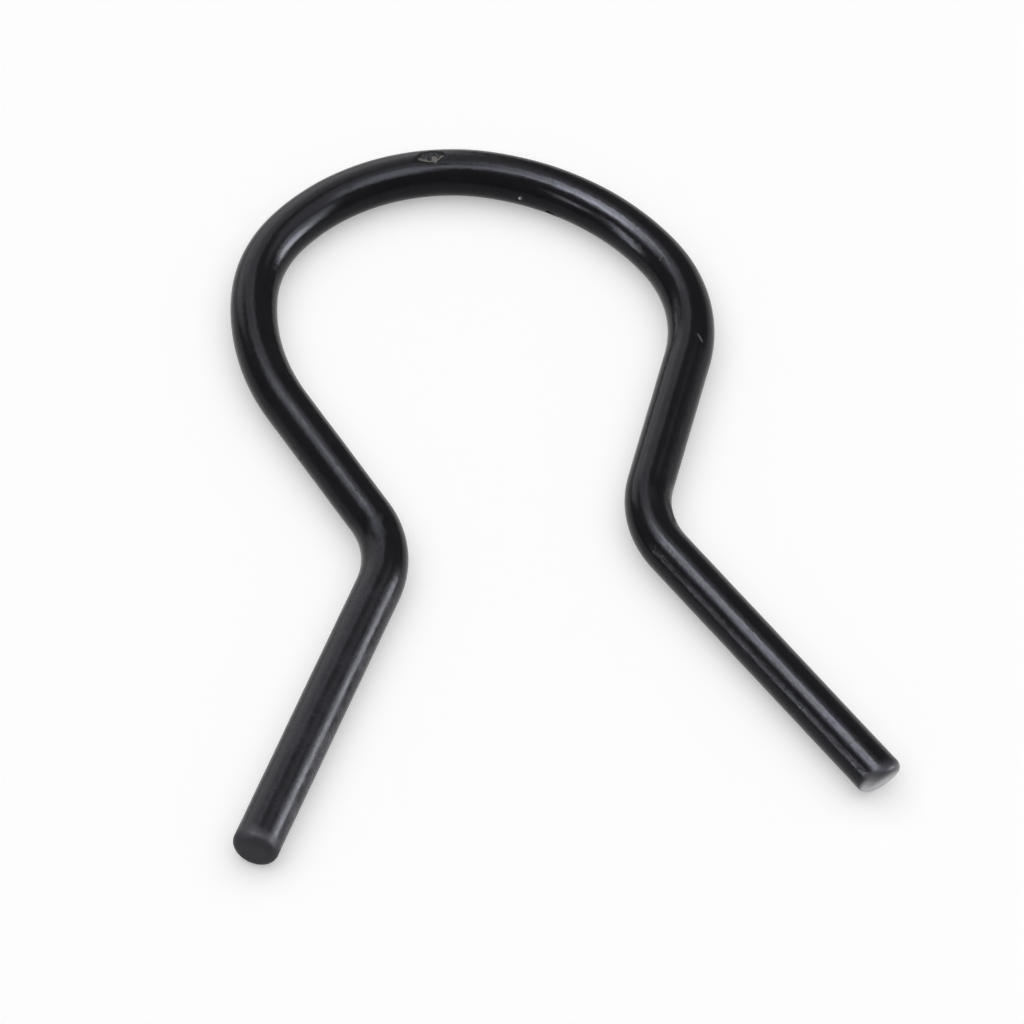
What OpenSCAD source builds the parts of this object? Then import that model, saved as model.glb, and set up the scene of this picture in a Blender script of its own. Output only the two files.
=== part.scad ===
// Pivot retaining clip: one length of round spring wire, bent flat into an omega.
// It lies flat. The origin is midway between the two neck bends, on the plane that the clip rests on.
// +Y points to the crown of the loop, and the two legs splay out towards -Y.
// The wire's centreline is one tangent path of straight runs and round bends, from the
// left leg's cut end up over the crown and down to the right leg's cut end.

/* [Wire] */
// Diameter of the spring wire, coating included
wire_d = 2.5; // [1.6:0.1:3.6]
// Radius that tumbling leaves round the rim of each cut end
end_round_r = 0.5; // [0.1:0.05:0.7]

/* [Neck] */
// Clear gap between the two neck bends, where the pivot's neck sits
neck_gap = 11.5; // [8:0.1:15]
// Centreline radius of the two neck bends
neck_bend_r = 5.6; // [4:0.1:9]

/* [Legs] */
// Straight length of the left leg, from its neck bend to its cut end
left_leg_len = 18.3; // [8:0.1:30]
// Straight length of the right leg, from its neck bend to its cut end
right_leg_len = 18.3; // [8:0.1:30]
// Angle that the left leg splays out from the centre line
left_leg_splay = 29; // [10:0.5:45]
// Angle that the right leg splays out from the centre line
right_leg_splay = 27.5; // [10:0.5:45]

/* [Loop] */
// Angle that each arm spreads out from the centre line, going up from the neck
arm_spread = 22; // [17:0.5:30]
// Centreline radius of the open bend at the top of the left arm
left_side_r = 13; // [11:0.5:16]
// Angle turned by the open bend at the top of the left arm
left_side_turn = 34; // [26:1:42]
// Centreline radius of the left shoulder of the loop
left_shoulder_r = 7.6; // [6:0.1:9]
// Angle turned by the left shoulder
left_shoulder_turn = 36; // [30:1:42]
// Centreline radius of the left half of the crown
left_crown_r = 11.2; // [10:0.1:13]
// Angle turned by the left half of the crown
left_crown_turn = 62; // [54:1:70]
// Centreline radius of the right half of the crown
right_crown_r = 14.4; // [12:0.1:16]
// Angle turned by the right half of the crown
right_crown_turn = 42; // [34:1:50]
// Centreline radius of the right shoulder of the loop, which turns whatever angle is left
right_shoulder_r = 8.5; // [7:0.1:11]

/* [Hidden] */

wire_colour = "#1b1c1f";
section_sides = 48;    // facets round the wire's section
sweep_sides = 180;     // facets round a full turn of a bend
joint_reach = 0.12;    // how far the collar that closes each joint runs over the wire, each way
joint_proud = 0.01;   // how far that collar stands proud of the wire

wire_r = wire_d / 2;
neck_centre_x = neck_gap / 2 + wire_r + neck_bend_r;   // from the centre line to a neck bend's centre

// Headings in plan, anticlockwise from +X. The path goes up the left side and comes down the right.
leg_up = 90 - left_leg_splay;
arm_up = 90 + arm_spread;
shoulder_up = arm_up - left_side_turn;
crown_up = shoulder_up - left_shoulder_turn;
crown_top = crown_up - left_crown_turn;
crown_down = crown_top - right_crown_turn;
arm_down = -arm_up;

// Unit vector along a heading
function along(heading) = [cos(heading), sin(heading)];

// From a run's start to its end. A run is [length, 0] if it is straight, and otherwise
// [bend radius, angle turned], where a turn to the left is positive.
function step(run, heading) = run.y == 0
    ? run.x * along(heading)
    : run.x * sign(run.y) * (along(heading + run.y - 90) - along(heading - 90));

// Point of the left neck bend at which the wire has the given heading
function neck_point(heading) = [-neck_centre_x, 0] + neck_bend_r * along(heading - 90);

left_neck = [neck_bend_r, arm_up - leg_up];
right_neck = [neck_bend_r, arm_spread + right_leg_splay];
left_side = [left_side_r, -left_side_turn];
left_shoulder = [left_shoulder_r, -left_shoulder_turn];
left_crown = [left_crown_r, -left_crown_turn];
right_crown = [right_crown_r, -right_crown_turn];
right_shoulder = [right_shoulder_r, arm_down - crown_down];

// The bends fix the loop's shape, and the arms are as long as it takes to bring it onto the two necks
arm_foot = neck_point(arm_up);
arms_span = [-2 * arm_foot.x, 0]
    - step(left_side, arm_up) - step(left_shoulder, shoulder_up)
    - step(left_crown, crown_up) - step(right_crown, crown_top)
    - step(right_shoulder, crown_down);
arms_cross = cross(along(arm_up), along(arm_down));
left_arm_len = cross(arms_span, along(arm_down)) / arms_cross;
right_arm_len = cross(along(arm_up), arms_span) / arms_cross;

runs = [
    [left_leg_len, 0], left_neck, [left_arm_len, 0],
    left_side, left_shoulder, left_crown, right_crown, right_shoulder,
    [right_arm_len, 0], right_neck, [right_leg_len, 0]
];

// Start point and heading of each run from number i on, and of the path's end
function stations(i, point, heading) = i == len(runs)
    ? [[point, heading]]
    : concat([[point, heading]], stations(i + 1, point + step(runs[i], heading), heading + runs[i].y));

path = stations(0, neck_point(leg_up) - left_leg_len * along(leg_up), leg_up);

// Stands its children at a point of the path, with their Z axis along a heading
module at_station(point, heading) {
    translate([point.x, point.y, wire_r]) rotate([0, 90, heading]) children();
}

// Straight arm
module arm(station, length) {
    at_station(station[0], station[1]) cylinder(h = length, r = wire_r, $fn = section_sides);
}

// Round bend that leaves a station and turns by an angle, to the left if it is positive
module bend(station, r, turn) {
    side = sign(turn);
    centre = station[0] + side * r * along(station[1] + 90);
    translate([centre.x, centre.y, wire_r])
        rotate([0, 0, station[1] - side * 90 + min(turn, 0)])
            rotate_extrude(angle = abs(turn), $fn = sweep_sides)
                translate([r, 0]) circle(r = wire_r, $fn = section_sides);
}

// Straight leg that leaves a neck bend along a heading, and ends in a square cut with a tumbled rim
module leg(point, heading, length) {
    shank = length - end_round_r;
    at_station(point, heading) rotate_extrude($fn = section_sides) {
        square([wire_r, shank]);
        square([wire_r - end_round_r, length]);
        intersection() {
            translate([wire_r - end_round_r, shank]) circle(r = end_round_r, $fn = section_sides);
            square([wire_r, length]);
        }
    }
}

// Thin collar that closes the joint between two runs
module joint_collar(station) {
    at_station(station[0], station[1])
        cylinder(h = 2 * joint_reach, r = wire_r + joint_proud, center = true, $fn = section_sides);
}

// Run number i with the collar that closes its start
module closed_run(i) {
    union() {
        joint_collar(path[i]);
        if (runs[i].y == 0) arm(path[i], runs[i].x);
        else bend(path[i], runs[i].x, runs[i].y);
    }
}

// The runs from number i up to the last bend, joined one after another
module chain(i, last) {
    if (i == last) closed_run(i);
    else union() {
        closed_run(i);
        chain(i + 1, last);
    }
}

module wire_clip() {
    last = len(runs) - 1;
    color(wire_colour) union() {
        leg(path[1][0], path[1][1] + 180, left_leg_len);
        chain(1, last - 1);
        joint_collar(path[last]);
        leg(path[last][0], path[last][1], right_leg_len);
    }
}

wire_clip();
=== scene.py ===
import math

import bpy
from mathutils import Matrix, Vector


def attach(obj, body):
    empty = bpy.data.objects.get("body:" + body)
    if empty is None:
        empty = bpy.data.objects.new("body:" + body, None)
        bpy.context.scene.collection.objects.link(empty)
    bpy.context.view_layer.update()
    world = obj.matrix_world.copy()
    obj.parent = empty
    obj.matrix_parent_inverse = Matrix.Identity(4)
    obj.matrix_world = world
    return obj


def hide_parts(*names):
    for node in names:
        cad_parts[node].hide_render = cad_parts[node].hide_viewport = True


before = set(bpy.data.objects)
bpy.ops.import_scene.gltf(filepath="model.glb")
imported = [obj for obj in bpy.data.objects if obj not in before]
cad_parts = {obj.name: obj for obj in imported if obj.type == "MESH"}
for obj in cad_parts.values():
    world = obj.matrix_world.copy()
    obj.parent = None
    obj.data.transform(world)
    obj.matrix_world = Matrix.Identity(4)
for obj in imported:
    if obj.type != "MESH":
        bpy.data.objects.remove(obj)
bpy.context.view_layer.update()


# ---------------------------------------------------------------------------------------------
# The spring wire: one length of round hard-drawn steel wire, cut square at both ends and tumbled
# so that the rims are round, then bent flat round pins into the legs, necks, arms and loop.
# ---------------------------------------------------------------------------------------------

wire_diameter = 0.0025
wire_radius = wire_diameter / 2
end_rounding = 0.0005        # round rim that tumbling leaves at each cut end
end_crown = 0.00002          # how far a cut end stands out at its middle
middle_ring = 0.08           # girth of the smallest ring of a cut face, as a share of the face
face_rings = 6               # rings from a cut face's middle to its edge
rim_rings = 10               # rings round the rim of a cut end
pitch = 0.0002               # distance between two rings of the wire's mesh
section_sides = 96
waviness = 0.000022          # how far the skin sinks in at most
waves = 420.0                # how close the sinks and swells lie, as a pattern scale

neck_gap = 0.0115
neck_bend_radius = 0.0056
leg_length = 0.0183
left_leg_splay = 29.0
right_leg_splay = 27.5
arm_spread = 22.0
left_side_radius = 0.013
left_side_turn = 34.0
left_shoulder_radius = 0.0076
left_shoulder_turn = 36.0
left_crown_radius = 0.0112
left_crown_turn = 62.0
right_crown_radius = 0.0144
right_crown_turn = 42.0
right_shoulder_radius = 0.0085


def along(heading):
    """Unit vector in plan along a heading, in degrees anticlockwise from +X."""
    return Vector((math.cos(math.radians(heading)), math.sin(math.radians(heading))))


def travel(size, turn, heading):
    """From the start of a run to its end: a straight length, or a bend of a radius that turns."""
    if turn == 0:
        return size * along(heading)
    side = math.copysign(1.0, turn)
    return size * side * (along(heading + turn - 90) - along(heading - 90))


neck_centre = neck_gap / 2 + wire_radius + neck_bend_radius
leg_up = 90 - left_leg_splay
arm_up = 90 + arm_spread
shoulder_up = arm_up - left_side_turn
crown_up = shoulder_up - left_shoulder_turn
crown_top = crown_up - left_crown_turn
crown_down = crown_top - right_crown_turn
arm_down = -arm_up

# The arms are as long as it takes to bring the bent loop down onto the two necks
neck_top = Vector((-neck_centre, 0)) + neck_bend_radius * along(arm_up - 90)
span = Vector((-2 * neck_top.x, 0))
span -= travel(left_side_radius, -left_side_turn, arm_up)
span -= travel(left_shoulder_radius, -left_shoulder_turn, shoulder_up)
span -= travel(left_crown_radius, -left_crown_turn, crown_up)
span -= travel(right_crown_radius, -right_crown_turn, crown_top)
span -= travel(right_shoulder_radius, arm_down - crown_down, crown_down)
arms_cross = along(arm_up).cross(along(arm_down))
left_arm_length = span.cross(along(arm_down)) / arms_cross
right_arm_length = along(arm_up).cross(span) / arms_cross

runs = [
    (leg_length, 0.0),
    (neck_bend_radius, arm_up - leg_up),
    (left_arm_length, 0.0),
    (left_side_radius, -left_side_turn),
    (left_shoulder_radius, -left_shoulder_turn),
    (left_crown_radius, -left_crown_turn),
    (right_crown_radius, -right_crown_turn),
    (right_shoulder_radius, arm_down - crown_down),
    (right_arm_length, 0.0),
    (neck_bend_radius, arm_spread + right_leg_splay),
    (leg_length, 0.0),
]


def run_length(size, turn):
    return size if turn == 0 else size * math.radians(abs(turn))


wire_length = sum(run_length(size, turn) for size, turn in runs)
left_end = Vector((-neck_centre, 0)) + neck_bend_radius * along(leg_up - 90) - leg_length * along(leg_up)


def wire_point(distance):
    """Centre of the wire in plan, and its heading, at a distance along it from the left leg's end."""
    point, heading = left_end.copy(), leg_up
    for number, (size, turn) in enumerate(runs):
        length = run_length(size, turn)
        if distance <= length or number == len(runs) - 1:
            if turn == 0:
                return point + distance * along(heading), heading
            part = turn * distance / length
            return point + travel(size, part, heading), heading + part
        distance -= length
        point = point + travel(size, turn, heading)
        heading += turn


def wire_spot(distance, around, lift=0.0):
    """A spot on the wire's skin: 0 degrees around is the inner side of the loop, 90 is the top."""
    point, heading = wire_point(distance)
    inner = along(heading - 90)
    reach = wire_radius + lift
    flat = point + reach * math.cos(math.radians(around)) * inner
    return Vector((flat.x, flat.y, wire_radius + reach * math.sin(math.radians(around))))


# Distances from a cut end at which its face and its round rim get their rings
end_rings = [end_crown * (ring / face_rings) ** 2 for ring in range(face_rings)]
for ring in range(rim_rings + 1):
    end_rings.append(end_crown + end_rounding * (1 - math.cos(math.radians(90 * ring / rim_rings))))
shank = wire_length - 2 * end_rings[-1]
shank_rings = round(shank / pitch)
distances = end_rings + [end_rings[-1] + shank * ring / shank_rings for ring in range(1, shank_rings)]
distances += [wire_length - ring for ring in reversed(end_rings)]

centre_mesh = bpy.data.meshes.new("wire_centre")
centre_points = [wire_point(distance)[0] for distance in distances]
centre_mesh.from_pydata(
    [(point.x, point.y, wire_radius) for point in centre_points],
    [(number, number + 1) for number in range(len(centre_points) - 1)],
    [],
)
wire_centre = bpy.data.objects.new("wire_centre", centre_mesh)
bpy.context.scene.collection.objects.link(wire_centre)

coating = bpy.data.materials.new("black_coating")

sweep = bpy.data.node_groups.new("bent wire", "GeometryNodeTree")
sweep.is_modifier = True


def tree_input(name, kind, value=None):
    socket = sweep.interface.new_socket(name=name, in_out="INPUT", socket_type=kind)
    if value is not None:
        socket.default_value = value
    return socket.identifier


tree_input("Centre Line", "NodeSocketGeometry")
diameter_input = tree_input("Wire Diameter", "NodeSocketFloat", 0.002)
rounding_input = tree_input("End Rounding", "NodeSocketFloat", 0.0003)
crown_input = tree_input("End Crown", "NodeSocketFloat", 0.00001)
sides_input = tree_input("Section Sides", "NodeSocketInt", 32)
waviness_input = tree_input("Waviness", "NodeSocketFloat", 0.0)
coating_input = tree_input("Coating", "NodeSocketMaterial")
sweep.interface.new_socket(name="Wire", in_out="OUTPUT", socket_type="NodeSocketGeometry")


def node(tree, kind, **settings):
    """A node, with its properties set by name and its inputs by 'in_' and their number or name."""
    made = tree.nodes.new(kind)
    for name, value in settings.items():
        if not name.startswith("in_"):
            setattr(made, name, value)
    for name, value in settings.items():
        if name.startswith("in_"):
            key = name[3:]
            socket = made.inputs[int(key) if key.isdigit() else key.replace("_", " ")]
            if isinstance(value, bpy.types.NodeSocket):
                tree.links.new(value, socket)
            else:
                socket.default_value = value
    return made


def maths(tree, operation, first, second=0.0, third=0.0, clamp=False):
    """Output of one Math node on two or three numbers or sockets."""
    made = node(
        tree, "ShaderNodeMath", operation=operation, use_clamp=clamp,
        in_0=first, in_1=second, in_2=third,
    )
    return made.outputs[0]


given = sweep.nodes.new("NodeGroupInput").outputs
curve = node(sweep, "GeometryNodeMeshToCurve", in_Mesh=given["Centre Line"])
flat_curve = node(sweep, "GeometryNodeSetCurveNormal", in_Curve=curve.outputs[0], mode="Z_UP")
place = node(sweep, "GeometryNodeSplineParameter").outputs["Length"]
whole = node(sweep, "GeometryNodeSplineLength").outputs["Length"]
from_end = maths(sweep, "MINIMUM", place, maths(sweep, "SUBTRACT", whole, place))
radius = maths(sweep, "MULTIPLY", given["Wire Diameter"], 0.5)
rounding_part = maths(sweep, "DIVIDE", given["End Rounding"], radius)
face_part = maths(sweep, "SUBTRACT", 1.0, rounding_part)

# The face grows from a small middle ring to the rim, over the crown of the cut end
face_rise = maths(sweep, "SQRT", maths(sweep, "DIVIDE", from_end, given["End Crown"], clamp=True))
face_girth = maths(sweep, "MULTIPLY_ADD", face_rise, 1 - middle_ring, middle_ring)
face_girth = maths(sweep, "MULTIPLY", face_girth, face_part)

# The round rim is a quarter of a circle
rim_depth = maths(sweep, "SUBTRACT", from_end, given["End Crown"])
rim_share = maths(sweep, "DIVIDE", rim_depth, given["End Rounding"], clamp=True)
rim_left = maths(sweep, "SUBTRACT", 1.0, rim_share)
rim_rise = maths(sweep, "SQRT", maths(sweep, "SUBTRACT", 1.0, maths(sweep, "MULTIPLY", rim_left, rim_left)))
girth = maths(sweep, "MULTIPLY_ADD", rim_rise, rounding_part, face_girth)

measured = node(
    sweep, "GeometryNodeStoreNamedAttribute", data_type="FLOAT", domain="POINT",
    in_Geometry=flat_curve.outputs[0], in_Name="along", in_Value=place,
)
section = node(
    sweep, "GeometryNodeCurvePrimitiveCircle", mode="RADIUS",
    in_Resolution=given["Section Sides"], in_Radius=radius,
)
section_place = node(sweep, "GeometryNodeInputPosition").outputs[0]
section_turn = node(sweep, "ShaderNodeVectorMath", operation="NORMALIZE", in_0=section_place)
turned = node(
    sweep, "GeometryNodeStoreNamedAttribute", data_type="FLOAT_VECTOR", domain="POINT",
    in_Geometry=section.outputs[0], in_Name="around", in_Value=section_turn.outputs[0],
)
swept = node(
    sweep, "GeometryNodeCurveToMesh",
    in_Curve=measured.outputs[0], in_1=turned.outputs[0], in_Scale=girth,
)
swept.inputs["Fill Caps"].default_value = True

# Drawing and bending leave the wire slightly uneven, always a little inside its true size
skin = node(sweep, "GeometryNodeInputNormal").outputs[0]
uneven = node(sweep, "ShaderNodeTexNoise", noise_dimensions="3D", in_Scale=waves, in_Detail=2.0)
sink = maths(sweep, "MULTIPLY", maths(sweep, "MULTIPLY", uneven.outputs[0], given["Waviness"]), -1.0)
shift = node(sweep, "ShaderNodeVectorMath", operation="SCALE", in_0=skin, in_Scale=sink)
worn = node(sweep, "GeometryNodeSetPosition", in_Geometry=swept.outputs[0], in_Offset=shift.outputs[0])

smooth = node(sweep, "GeometryNodeSetShadeSmooth", in_Geometry=worn.outputs[0])
real = node(sweep, "GeometryNodeRealizeInstances", in_Geometry=smooth.outputs[0])
coated = node(sweep, "GeometryNodeSetMaterial", in_Geometry=real.outputs[0], in_Material=given["Coating"])
out = sweep.nodes.new("NodeGroupOutput")
sweep.links.new(coated.outputs[0], out.inputs[0])

sweeping = wire_centre.modifiers.new("bent wire", "NODES")
sweeping.node_group = sweep
sweeping[diameter_input] = wire_diameter
sweeping[rounding_input] = end_rounding
sweeping[crown_input] = end_crown
sweeping[sides_input] = section_sides
sweeping[waviness_input] = waviness
sweeping[coating_input] = coating

bpy.context.view_layer.update()
evaluated = wire_centre.evaluated_get(bpy.context.evaluated_depsgraph_get())
wire_mesh = bpy.data.meshes.new_from_object(evaluated)
wire_mesh.name = "clip_wire"
clip_wire = bpy.data.objects.new("clip_wire", wire_mesh)
bpy.context.scene.collection.objects.link(clip_wire)
wire_centre.modifiers.remove(sweeping)
bpy.data.objects.remove(wire_centre)

# The shear left the right end's face leaning in underneath, with the top standing furthest out
cut_lean = 20.0
cut_longer = 0.0003          # how far the middle of the leaning face stands out from a square cut
cut_reach = 0.0022           # length of wire that the shear pushed
right_end, right_heading = wire_point(wire_length)
outward = along(right_heading)
for corner in wire_mesh.vertices:
    depth = (right_end - corner.co.to_2d()).dot(outward)
    if depth < cut_reach and corner.co.x > 0:
        share = 1 - max(depth, 0.0) / cut_reach
        push = cut_longer + (corner.co.z - wire_radius) * math.tan(math.radians(cut_lean))
        corner.co += push * share * outward.to_3d()

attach(clip_wire, "root")
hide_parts("wire_clip")


# ---------------------------------------------------------------------------------------------
# The coating: a thin black baked coat, sprayed and cured over the bent wire. It is satin, with a
# fine grain and a faint blue sheen, and it is scuffed where parts were hung, sorted and fitted.
# Some light is painted into its colour as well: a sheen on the left leg, the board's reflection on the
# right end and dark reflected lines on the right arm.
# ---------------------------------------------------------------------------------------------

coating.use_nodes = True
paint = coating.node_tree
paint.nodes.clear()
surface = node(paint, "ShaderNodeBsdfPrincipled")
surface.inputs["Specular IOR Level"].default_value = 0.11
surface.inputs["Specular Tint"].default_value = (0.82, 0.855, 1.0, 1)
node(paint, "ShaderNodeOutputMaterial", in_Surface=surface.outputs[0])

position = node(paint, "ShaderNodeTexCoord").outputs["Object"]


def pattern(scale, detail, roughness):
    """A random pattern in the coating, from 0 to 1."""
    made = node(
        paint, "ShaderNodeTexNoise",
        in_Vector=position, in_Scale=scale, in_Detail=detail, in_Roughness=roughness,
    )
    return made.outputs[0]


grain = pattern(9000.0, 3.0, 0.6)
peel = pattern(2200.0, 2.0, 0.5)
patches = pattern(700.0, 4.0, 0.65)
ragged = maths(paint, "SUBTRACT", peel, 0.5)


least_depth = 0.0004         # an oval spot reaches at least this far into the wire's curved skin


def oval(distance, around, half_long, half_wide, turn=0.0, uneven=0.5):
    """How far out a point is from the middle of an oval spot on the wire, where 1 is its edge."""
    middle = wire_spot(distance, around)
    outward = (wire_spot(distance, around, 0.001) - middle).normalized()
    heading = along(wire_point(distance)[1]).to_3d()
    lie = Matrix((heading, outward.cross(heading), outward)).transposed()
    lie = lie @ Matrix.Rotation(math.radians(turn), 3, "Z")
    half_deep = max(half_long, half_wide, least_depth)
    mapped = node(
        paint, "ShaderNodeMapping", vector_type="TEXTURE", in_Vector=position, in_Location=middle,
        in_Rotation=lie.to_euler(), in_Scale=(half_long, half_wide, half_deep),
    ).outputs[0]
    out_from = node(paint, "ShaderNodeVectorMath", operation="LENGTH", in_0=mapped).outputs["Value"]
    return maths(paint, "MULTIPLY_ADD", ragged, uneven, out_from), mapped


def fall(value, start, end):
    """Smooth fall from 1 at start to 0 at end."""
    made = node(
        paint, "ShaderNodeMapRange", interpolation_type="SMOOTHSTEP",
        in_Value=value, in_1=start, in_2=end, in_3=1.0, in_4=0.0,
    )
    return made.outputs[0]


def over(below, above, cover):
    """One colour laid over another where it covers it."""
    made = node(paint, "ShaderNodeMix", data_type="RGBA", in_0=cover)
    for socket, colour in ((made.inputs[6], below), (made.inputs[7], above)):
        if isinstance(colour, bpy.types.NodeSocket):
            paint.links.new(colour, socket)
        else:
            socket.default_value = (*colour, 1)
    return made.outputs[2]


# The coat varies from black to a slightly lighter black, and from shiny to satin
coat_black = (0.0098, 0.0092, 0.0106)
coat_light = (0.0122, 0.0116, 0.0130)
shiny = 0.075
shiny_to_satin = 0.12
colour = over(coat_black, coat_light, fall(patches, 0.42, 0.62))
sheen_spread = maths(paint, "MULTIPLY_ADD", patches, shiny_to_satin, shiny)

# The left leg is rubbed dull by handling, from its end up to the neck. Its inner side, which faces the
# lamps on the right, also gets a light grey painted sheen
rubbed_grey = (0.0195, 0.0190, 0.0225)
painted_sheen_grey = (0.17, 0.168, 0.19)
rubbed_dull = 0.21
rub_fade = (0.016, 0.0215)   # the rubbing fades out between these distances from the left end
place_along = node(paint, "ShaderNodeAttribute", attribute_name="along").outputs["Fac"]
rubbed = maths(paint, "MULTIPLY", fall(place_along, *rub_fade), fall(patches, 0.95, 0.15))
round_wire = node(paint, "ShaderNodeAttribute", attribute_name="around").outputs["Vector"]
inner_side = node(paint, "ShaderNodeSeparateXYZ", in_0=round_wire).outputs[0]
# Painted sheen: a light grey laid on the left leg's inner side, standing in for the lamps' broad reflection
# there
painted_sheen = maths(paint, "MULTIPLY", rubbed, fall(inner_side, 0.99, 0.66))
colour = over(colour, rubbed_grey, rubbed)
colour = over(colour, painted_sheen_grey, painted_sheen)
sheen_spread = maths(paint, "MULTIPLY_ADD", rubbed, rubbed_dull, sheen_spread)

# The grain makes a fine speckle in the sheen
usual_grain = 0.42
speckle = 0.30
grain_change = maths(paint, "SUBTRACT", grain, usual_grain)
sheen_spread = maths(paint, "MULTIPLY_ADD", grain_change, speckle, sheen_spread)

grain_height = 0.8
height = maths(paint, "MULTIPLY_ADD", grain, grain_height, peel)

# Where the coating is gone or thick, and where a dark reflection is painted: distance along the wire,
# degrees round it, half length, half width, turn on the skin, how high it stands, its colour and its
# roughness
marks = [
    # A white chip on the inner side of the crown, and a torn strip under it
    (0.05830, 5, 0.00007, 0.00011, 0, 0.6, (0.62, 0.62, 0.60), 0.6),
    (0.05842, 9, 0.00005, 0.00016, 20, 0.3, (0.10, 0.10, 0.10), 0.6),
    (0.06032, 343, 0.00042, 0.00015, -6, -1.5, (0.0010, 0.0010, 0.0011), 0.8),
    (0.06010, 349, 0.00016, 0.00010, 10, -1.5, (0.0010, 0.0010, 0.0011), 0.8),
    (0.06055, 345, 0.00005, 0.00004, 0, 1.0, (0.20, 0.20, 0.20), 0.5),
    # Specks on the right shoulder, and a light scratch where the right arm starts
    (0.06804, 68, 0.00009, 0.00014, 25, -1.2, (0.0020, 0.0020, 0.0022), 0.6),
    (0.06640, 52, 0.00012, 0.00007, 0, -1.0, (0.0020, 0.0020, 0.0022), 0.6),
    (0.06993, 132, 0.00008, 0.00008, 0, -1.0, (0.0020, 0.0020, 0.0022), 0.6),
    (0.07163, 48, 0.00013, 0.00010, 0, -1.4, (0.0015, 0.0015, 0.0016), 0.7),
    (0.07367, 116, 0.00030, 0.00008, 40, 0.8, (0.060, 0.062, 0.068), 0.45),
    # Specks on the left arm, a nick in the left leg and a brown streak near the right end
    (0.02838, 175, 0.00014, 0.00009, 15, -1.0, (0.0015, 0.0015, 0.0016), 0.7),
    (0.02898, 164, 0.00010, 0.00007, -20, -1.0, (0.0015, 0.0015, 0.0016), 0.7),
    (0.00858, 81, 0.00007, 0.00022, 12, -1.2, (0.0020, 0.0020, 0.0022), 0.6),
    (0.10354, 42, 0.00030, 0.00004, 8, -0.6, (0.020, 0.014, 0.010), 0.5),
    # Thin dark lines along the inner side of the right arm: shallow grooves with a painted dark reflection
    # of the dim band where the wall's light meets the board
    (0.07250, 58, 0.00090, 0.00007, 3, -1.2, (0.0015, 0.0015, 0.0017), 0.7),
    (0.07400, 53, 0.00080, 0.00006, -4, -1.2, (0.0015, 0.0015, 0.0017), 0.7),
    (0.07530, 50, 0.00060, 0.00006, 4, -1.2, (0.0015, 0.0015, 0.0017), 0.7),
    # Creases in the coat on the left neck bend, then on the right one
    (0.02149, 101, 0.00095, 0.00042, 28, -0.5, (0.0045, 0.0044, 0.0048), 0.42),
    (0.02205, 90, 0.00060, 0.00030, -35, -0.4, (0.0055, 0.0054, 0.0058), 0.42),
    (0.02030, 130, 0.00140, 0.00060, 10, -0.2, (0.0150, 0.0145, 0.0165), 0.40),
    (0.08544, 150, 0.00120, 0.00042, 12, -0.6, (0.0025, 0.0025, 0.0028), 0.60),
    (0.08625, 142, 0.00070, 0.00025, -20, -0.5, (0.0030, 0.0030, 0.0034), 0.55),
    (0.08480, 104, 0.00130, 0.00036, 6, -0.2, (0.0070, 0.0068, 0.0075), 0.36),
]
crease_length = 0.0005       # a mark with a longer half is a crease
crease_solid = 0.25          # how far out a crease is solid, before it fades, where 1 is its edge
chip_solid = 0.75            # and how far out a chip is
mark_end = 1.1
for place, round_place, half_long, half_wide, turn, stand, mark_colour, mark_roughness in marks:
    edge, _ = oval(place, round_place, half_long, half_wide, turn)
    cover = fall(edge, crease_solid if half_long > crease_length else chip_solid, mark_end)
    colour = over(colour, mark_colour, cover)
    change = maths(paint, "SUBTRACT", mark_roughness, sheen_spread)
    sheen_spread = maths(paint, "MULTIPLY_ADD", change, cover, sheen_spread)
    height = maths(paint, "MULTIPLY_ADD", cover, stand, height)

# The cut faces show dull grey steel through a thin coat. The right one is bare steel below, painted
# near-white there as a reflection of the white board
left_face_grey = (0.044, 0.043, 0.049)
right_face_grey = (0.040, 0.039, 0.045)
bare_steel_and_reflection = (0.72, 0.72, 0.75)
face_dull = 0.24
left_fade = (0.00045, 0.00110)    # grey turns to black between these distances from the left end
right_fade = (0.00030, 0.00080)   # and from the right end
bare_and_reflection_fade = (0.00022, 0.00052)
reflection_height = (0.0011, 0.0025)    # the painted board reflection on the bare steel fades out between these heights
from_right_end = maths(paint, "SUBTRACT", wire_length, place_along)
left_face = fall(place_along, *left_fade)
right_face = fall(from_right_end, *right_fade)
colour = over(colour, left_face_grey, left_face)
colour = over(colour, right_face_grey, right_face)
faces = maths(paint, "ADD", left_face, right_face)
sheen_spread = maths(paint, "MULTIPLY_ADD", faces, face_dull, sheen_spread)
# Painted reflection: the low part of the right end's face is made near-white as the white board mirrored in
# it, fading higher up
up_from_board = node(paint, "ShaderNodeSeparateXYZ", in_0=position).outputs[2]
bare_and_reflection = maths(paint, "MULTIPLY", fall(from_right_end, *bare_and_reflection_fade), fall(up_from_board, *reflection_height))
colour = over(colour, bare_steel_and_reflection, bare_and_reflection)

# The crater where the wire hung on its hook: a dark torn edge round a dull grey floor, with
# light broken coating on the side that faces the loop. It is measured from 0 at its middle to 1
# at its edge.
torn_black = (0.0022, 0.0021, 0.0020)
floor_dark = (0.012, 0.012, 0.012)
floor_light = (0.055, 0.056, 0.055)
broken_coat = (0.15, 0.143, 0.122)
torn_dull = 0.85
crater_fall = -3.5
broken_rise = 1.6
broken_ring = 0.74           # where the broken coat lies
crater_edge, crater_place = oval(0.05315, 98, 0.00080, 0.00048, 4, 0.60)
crater = fall(crater_edge, 0.92, 1.08)
floor_cover = fall(crater_edge, 0.58, 0.78)
crater_side = node(paint, "ShaderNodeSeparateXYZ", in_0=crater_place).outputs[1]
crater_ring = maths(paint, "ABSOLUTE", maths(paint, "SUBTRACT", crater_edge, broken_ring))
broken = maths(paint, "MULTIPLY", fall(crater_ring, 0.03, 0.11), fall(crater_side, -0.35, 0.0))
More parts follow.
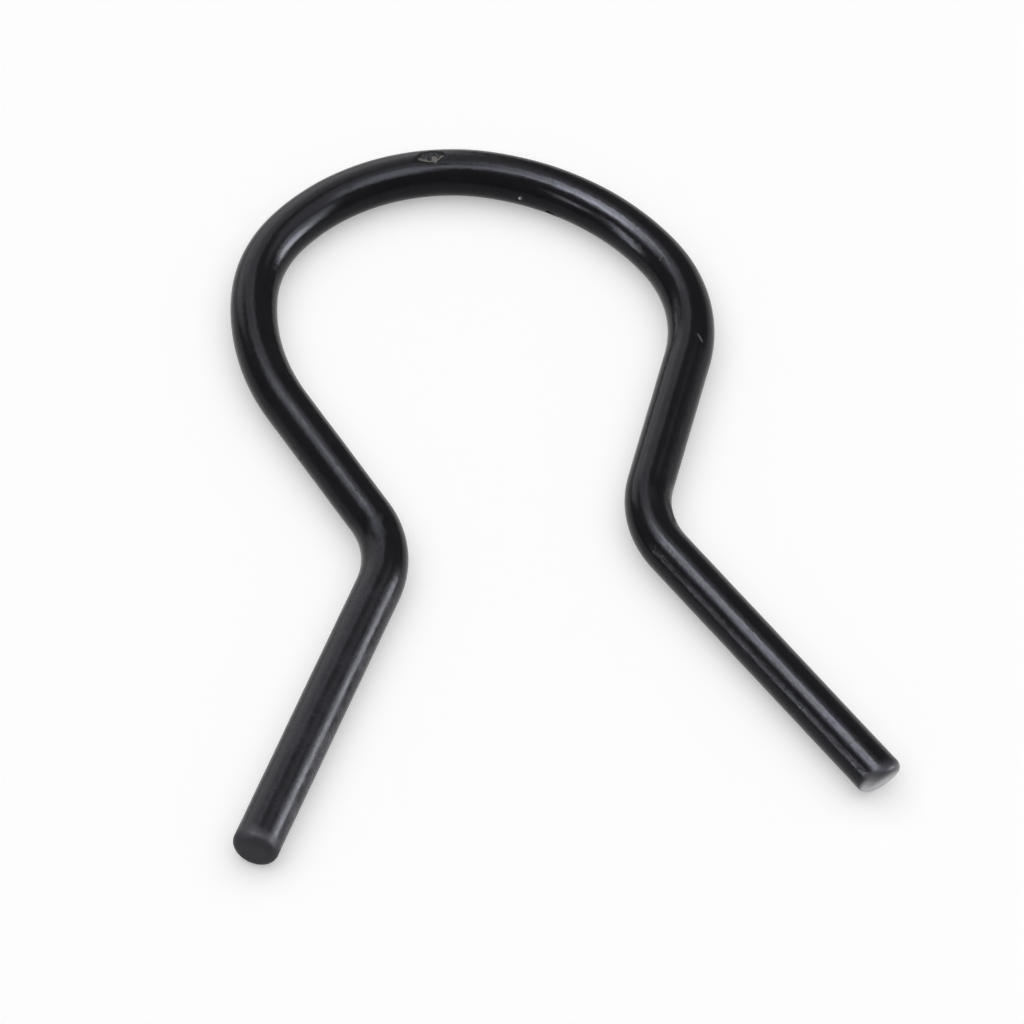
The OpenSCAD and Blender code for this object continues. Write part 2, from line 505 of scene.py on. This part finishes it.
flake_edge, _ = oval(0.05332, 86, 0.00014, 0.00022, 20, 0.6)
broken = maths(paint, "MAXIMUM", broken, fall(flake_edge, 0.8, 1.1))
colour = over(colour, torn_black, crater)
colour = over(colour, over(floor_dark, floor_light, fall(grain, 0.60, 0.42)), floor_cover)
colour = over(colour, broken_coat, broken)
sheen_spread = maths(paint, "MAXIMUM", sheen_spread, maths(paint, "MULTIPLY", crater, torn_dull))
height = maths(paint, "MULTIPLY_ADD", crater, crater_fall, height)
height = maths(paint, "MULTIPLY_ADD", broken, broken_rise, height)

bump_strength = 0.24
bump_height = 0.00004
paint.links.new(colour, surface.inputs["Base Color"])
paint.links.new(sheen_spread, surface.inputs["Roughness"])
bump = node(
    paint, "ShaderNodeBump",
    in_Strength=bump_strength, in_Distance=bump_height, in_Height=height,
)
paint.links.new(bump.outputs[0], surface.inputs["Normal"])

wire_mesh.materials.clear()
wire_mesh.materials.append(coating)


# ---------------------------------------------------------------------------------------------
# The table: a plain matt white board, wide enough to fill every view of the clip. It glows a
# little to the camera and in reflections, so it is white without more lamps.
# ---------------------------------------------------------------------------------------------

board_radius = 3.0
board_sides = 64
board_glow = 0.35
board_mesh = bpy.data.meshes.new("white_board")
board_corners = [board_radius * along(360 * corner / board_sides).to_3d() for corner in range(board_sides)]
board_mesh.from_pydata(board_corners, [], [tuple(range(board_sides))])
white_board = bpy.data.objects.new("white_board", board_mesh)
bpy.context.scene.collection.objects.link(white_board)

board_white = bpy.data.materials.new("board_white")
board_white.use_nodes = True
board_tree = board_white.node_tree
board_tree.nodes.clear()
matt = node(board_tree, "ShaderNodeBsdfDiffuse", in_Color=(0.8, 0.8, 0.8, 1))
path = node(board_tree, "ShaderNodeLightPath")
seen = maths(board_tree, "ADD", path.outputs["Is Camera Ray"], path.outputs["Is Glossy Ray"])
seen = maths(board_tree, "ADD", seen, path.outputs["Is Transmission Ray"], clamp=True)
shine = maths(board_tree, "MULTIPLY", seen, board_glow)
glow = node(board_tree, "ShaderNodeEmission", in_Color=(1, 1, 1, 1), in_Strength=shine)
both = node(board_tree, "ShaderNodeAddShader", in_0=matt.outputs[0], in_1=glow.outputs[0])
node(board_tree, "ShaderNodeOutputMaterial", in_Surface=both.outputs[0])
board_mesh.materials.append(board_white)


# ---------------------------------------------------------------------------------------------
# The studio: soft boxes hung round the table in a dim room. They are there to be mirrored in the
# coating, and only the ceiling lights the board.
# ---------------------------------------------------------------------------------------------

camera_turn = 8.709          # how far the camera stands round to the left of the clip's centre line


def bearing(azimuth, elevation):
    """Unit vector towards a lamp: azimuth 0 is beyond the clip as the camera sees it, 90 its right."""
    turned = math.radians(camera_turn + azimuth)
    raised = math.radians(elevation)
    level = math.cos(raised)
    return Vector((level * math.sin(turned), level * math.cos(turned), math.sin(raised)))


lamp_reach = 0.9             # distance from the clip to each lamp


def soft_box(name, azimuth, elevation, wide, high, radiance, roll=0.0):
    """A lamp to be mirrored in the clip, which it faces. wide and high are the degrees it fills."""
    lamp = bpy.data.lights.new(name, "AREA")
    lamp.shape = "RECTANGLE"
    lamp.size = 2 * lamp_reach * math.tan(math.radians(wide / 2))
    lamp.size_y = 2 * lamp_reach * math.tan(math.radians(high / 2))
    lamp.energy = radiance * math.pi * lamp.size * lamp.size_y
    box = bpy.data.objects.new(name, lamp)
    towards = bearing(azimuth, elevation)
    level = bearing(azimuth + 90, 0)
    facing = Matrix((level, towards.cross(level), towards)).transposed().to_4x4()
    rolled = facing @ Matrix.Rotation(math.radians(roll), 4, "Z")
    box.matrix_world = Matrix.Translation(towards * lamp_reach) @ rolled
    box.visible_diffuse = False
    box.visible_camera = False
    bpy.context.scene.collection.objects.link(box)
    return box


soft_box("overhead_box", -76, 65, 14, 13, 46.0)
soft_box("overhead_tail", -38, 65, 12, 12, 26.0)
soft_box("overhead_foot", -117, 80, 18, 12, 12.0)
soft_box("overhead_halo", -60, 65, 32, 34, 6.0)
soft_box("overhead_skirt", -14, 55, 16, 12, 4.0)
soft_box("front_overhead_box", 131, 71, 26, 30, 8.5)
soft_box("ceiling_haze", 80, 66, 46, 42, 2.6)
soft_box("right_box", 89, 9, 30, 26, 22.0)
soft_box("right_box_halo", 93, 16, 42, 44, 8.0)
soft_box("left_strip", -102.5, 20, 3.0, 28, 54.0)
soft_box("left_spot", -125.7, 30.5, 3.5, 10, 44.0, roll=-17)
soft_box("wall_bounce", -28, 15, 56, 28, 2.5)
soft_box("wall_top", -20, 36, 34, 22, 2.3)
ceiling_fill = soft_box("ceiling_fill", 0, 88, 90, 90, 1.07)
ceiling_fill.visible_diffuse = True
ceiling_fill.visible_glossy = False

room_light = 0.2
room = bpy.data.worlds.new("dim_room")
room.use_nodes = True
room.node_tree.nodes["Background"].inputs["Color"].default_value = (1, 1, 1, 1)
room.node_tree.nodes["Background"].inputs["Strength"].default_value = room_light
bpy.context.scene.world = room


# ---------------------------------------------------------------------------------------------
# The camera: a long lens that looks down on the clip from beyond its legs, and stands a little to
# the left of its centre line.
# ---------------------------------------------------------------------------------------------

lens = bpy.data.cameras.new("camera")
lens.lens = 573.387
lens.sensor_width = 36
lens.clip_start = 0.05
camera = bpy.data.objects.new("camera", lens)
aim = Vector((-0.0000482, 0.0012789, 0.00125))
camera.location = Vector((-0.079722, -0.518823, 0.668818))
camera.rotation_mode = "QUATERNION"
camera.rotation_quaternion = (aim - camera.location).to_track_quat("-Z", "Y")
bpy.context.scene.collection.objects.link(camera)
bpy.context.scene.camera = camera
bpy.context.scene.view_settings.view_transform = "Standard"
